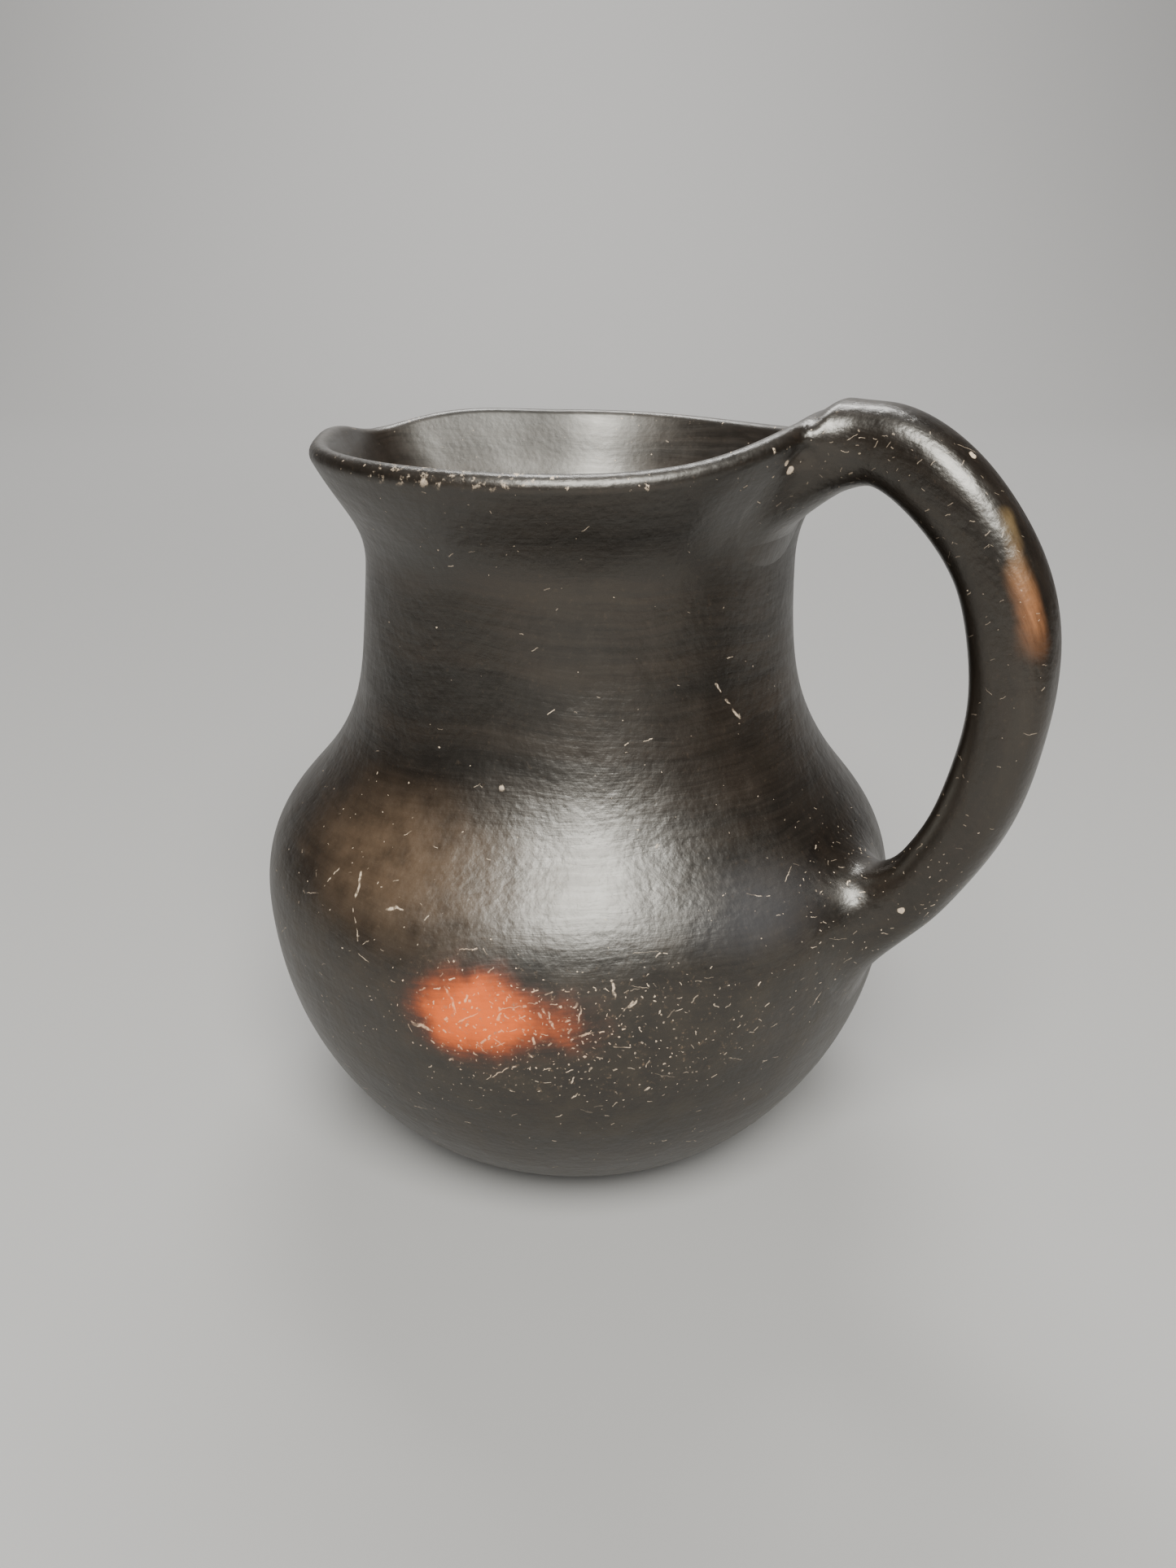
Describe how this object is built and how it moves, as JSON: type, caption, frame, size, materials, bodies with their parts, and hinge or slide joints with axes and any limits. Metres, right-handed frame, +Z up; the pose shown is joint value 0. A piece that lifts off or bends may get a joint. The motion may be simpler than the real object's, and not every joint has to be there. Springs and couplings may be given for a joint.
{
  "type": "handled clay jug",
  "caption": "Hand-built burnished black clay jug: round belly, waisted neck, flared mouth with a pinched pouring lip, rolled loop handle.",
  "frame": {"origin": "centre of the flat foot, on the surface that the jug stands on", "axes": "+Z up, +X from the belly's centre towards the handle, so the pouring lip points along -X, and +Y completes the right-handed frame"},
  "size_m": [0.1815, 0.15, 0.178],
  "materials": {
    "burnished_clay": "smoke-blackened clay burnished with a stone: satin gloss, brown-black, with orange and brown fire clouds and fine pale scratches",
    "handle_clay": "the same burnished blackware, with an oxidised orange-brown streak along the back of the handle"
  },
  "bodies": {
    "root": {"base_bowl": "burnished_clay", "shoulder_coil": "burnished_clay", "neck_coil": "burnished_clay", "mouth_coil": "burnished_clay", "handle_coil": "handle_clay", "upper_handle_lute": "handle_clay", "lower_handle_lute": "handle_clay"}
  },
  "joints": []
}
